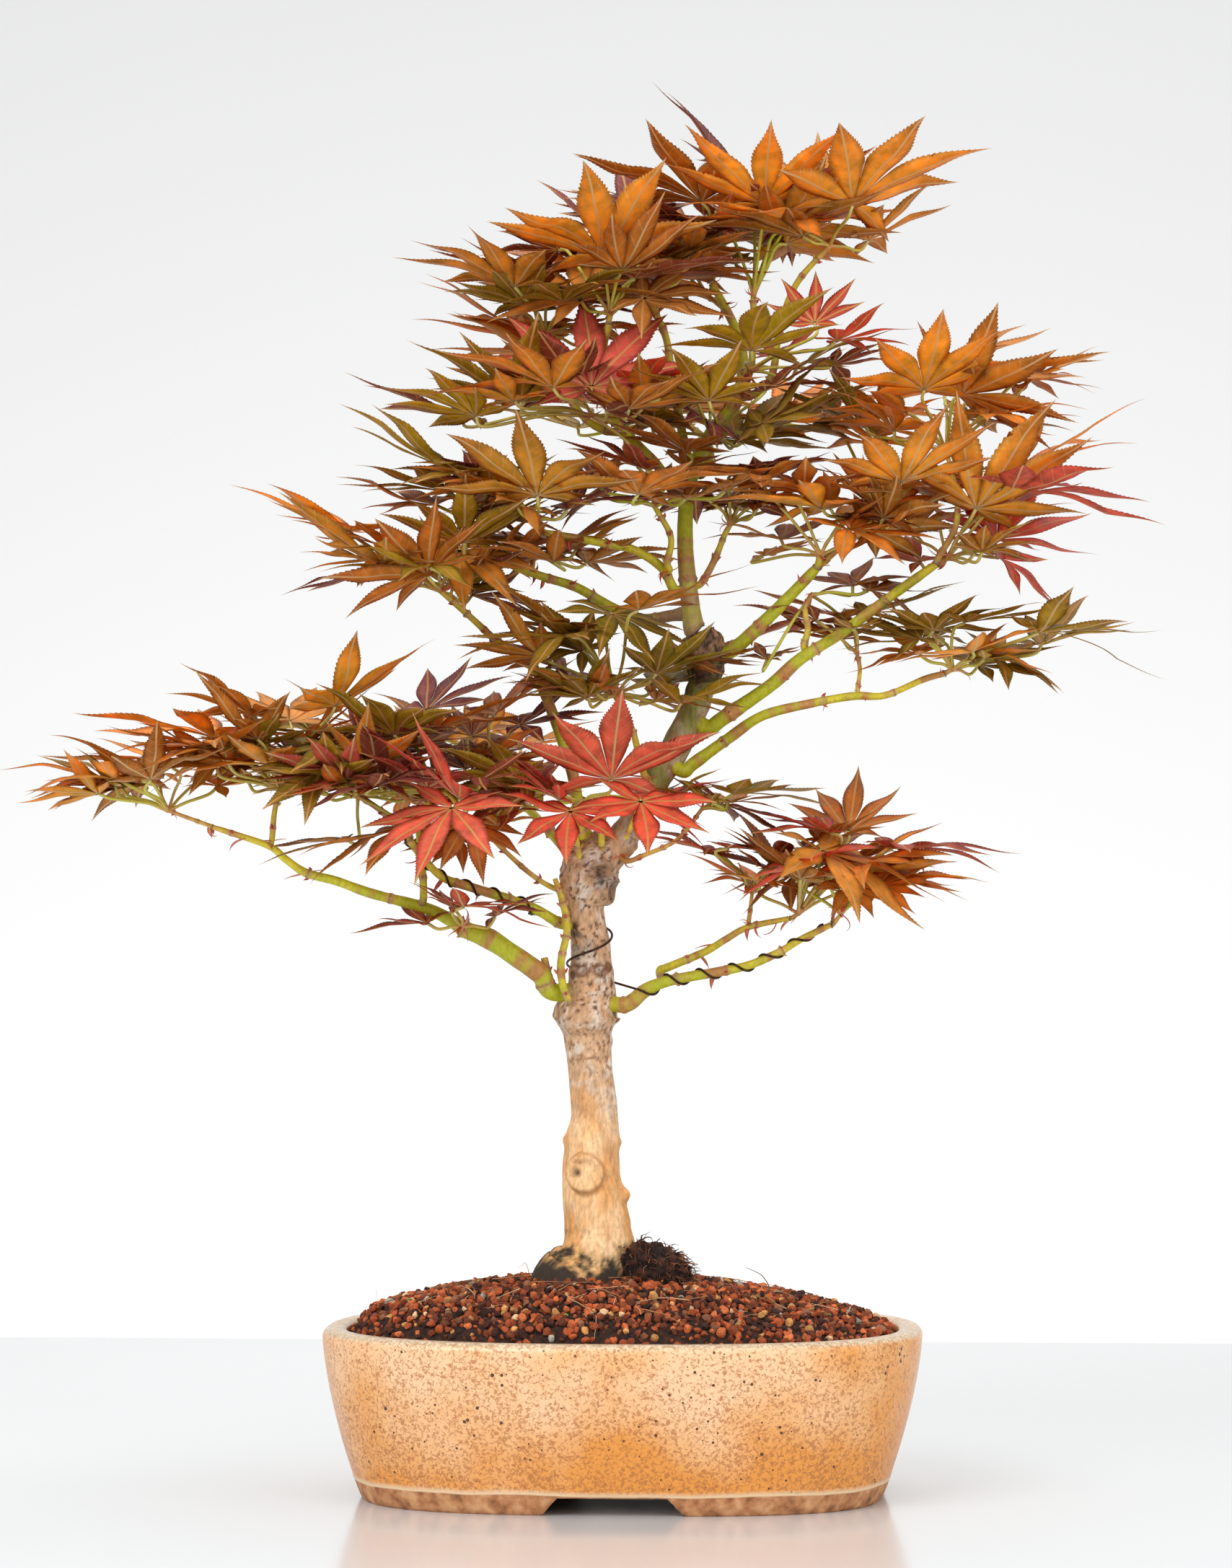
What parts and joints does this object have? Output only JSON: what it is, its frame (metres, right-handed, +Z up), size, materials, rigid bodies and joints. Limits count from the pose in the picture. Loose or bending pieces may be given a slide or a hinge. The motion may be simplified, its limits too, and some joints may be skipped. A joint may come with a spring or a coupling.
{
  "type": "bonsai tree in a pot",
  "caption": "Potted maple bonsai: curved trunk with wired boughs and lobed autumn-coloured leaves, rooted in granular soil in an oval glazed pot on a notched foot.",
  "frame": {"origin": "on the surface that the pot stands on, under the middle of the bounding box of the whole tree and pot", "axes": "+Z up; +X to the right of the tree's front view, along the pot's long side; -Y is the front"},
  "size_m": [0.4808, 0.2694, 0.5894],
  "materials": {
    "glaze": "buff speckled glaze, satin to glossy, over brown stoneware",
    "mesh_plastic": "black moulded plastic mesh",
    "soil": "dark baked clay granules",
    "root": "dark fine dry roots",
    "bark": "tan fissured bark, greyer higher up",
    "wire": "brown anodised annealed wire",
    "green_wood": "smooth young yellow-green bark with tan node rings",
    "leaf": "thin waxy leaf, orange to burgundy, pale veins"
  },
  "bodies": {
    "root": {"pot": "glaze", "drainage_screen_left": "mesh_plastic", "drainage_screen_right": "mesh_plastic", "soil_bed": "soil", "root_tuft": "root", "trunk": "bark", "training_wire": "wire", "bough_back_high": "green_wood", "bough_back_low": "green_wood", "bough_centre_right": "green_wood", "bough_left_high": "green_wood", "bough_low_left": "green_wood", "bough_low_right": "green_wood", "bough_mid_left": "green_wood", "bough_mossy_left": "green_wood", "bough_right_high": "green_wood", "bough_right_low": "green_wood", "bough_upper_left": "green_wood", "bough_wired_left": "green_wood", "branch_low_right_upper": "green_wood", "leader": "green_wood", "shoot_low_left_up": "green_wood", "leaves_apex_centre": "leaf", "leaves_apex_front": "leaf", "leaves_apex_left": "leaf", "leaves_apex_right": "leaf", "leaves_apex_tip": "leaf", "leaves_back_crown": "leaf", "leaves_back_high": "leaf", "leaves_back_low": "leaf", "leaves_centre_low": "leaf", "leaves_centre_right": "leaf", "leaves_centre_twig": "leaf", "leaves_centre_yellow": "leaf", "leaves_far_right": "leaf", "leaves_far_right_up": "leaf", "leaves_front_red": "leaf", "leaves_front_right": "leaf", "leaves_leader_mid": "leaf", "leaves_left_high": "leaf", "leaves_left_mid": "leaf", "leaves_left_top": "leaf", "leaves_left_twig": "leaf", "leaves_low_left_end": "leaf", "leaves_low_left_front": "leaf", "leaves_low_left_mid": "leaf", "leaves_low_left_tip": "leaf", "leaves_low_right_end": "leaf", "leaves_low_right_mid": "leaf", "leaves_low_right_upper": "leaf", "leaves_low_star": "leaf", "leaves_mid_left_front": "leaf", "leaves_mid_left_low": "leaf", "leaves_mid_left_tip": "leaf", "leaves_right_bud": "leaf", "leaves_right_low_mid": "leaf", "leaves_right_low_tip": "leaf", "leaves_right_upper": "leaf", "leaves_upper_left": "leaf", "leaves_upper_left_red": "leaf"}
  },
  "joints": []
}
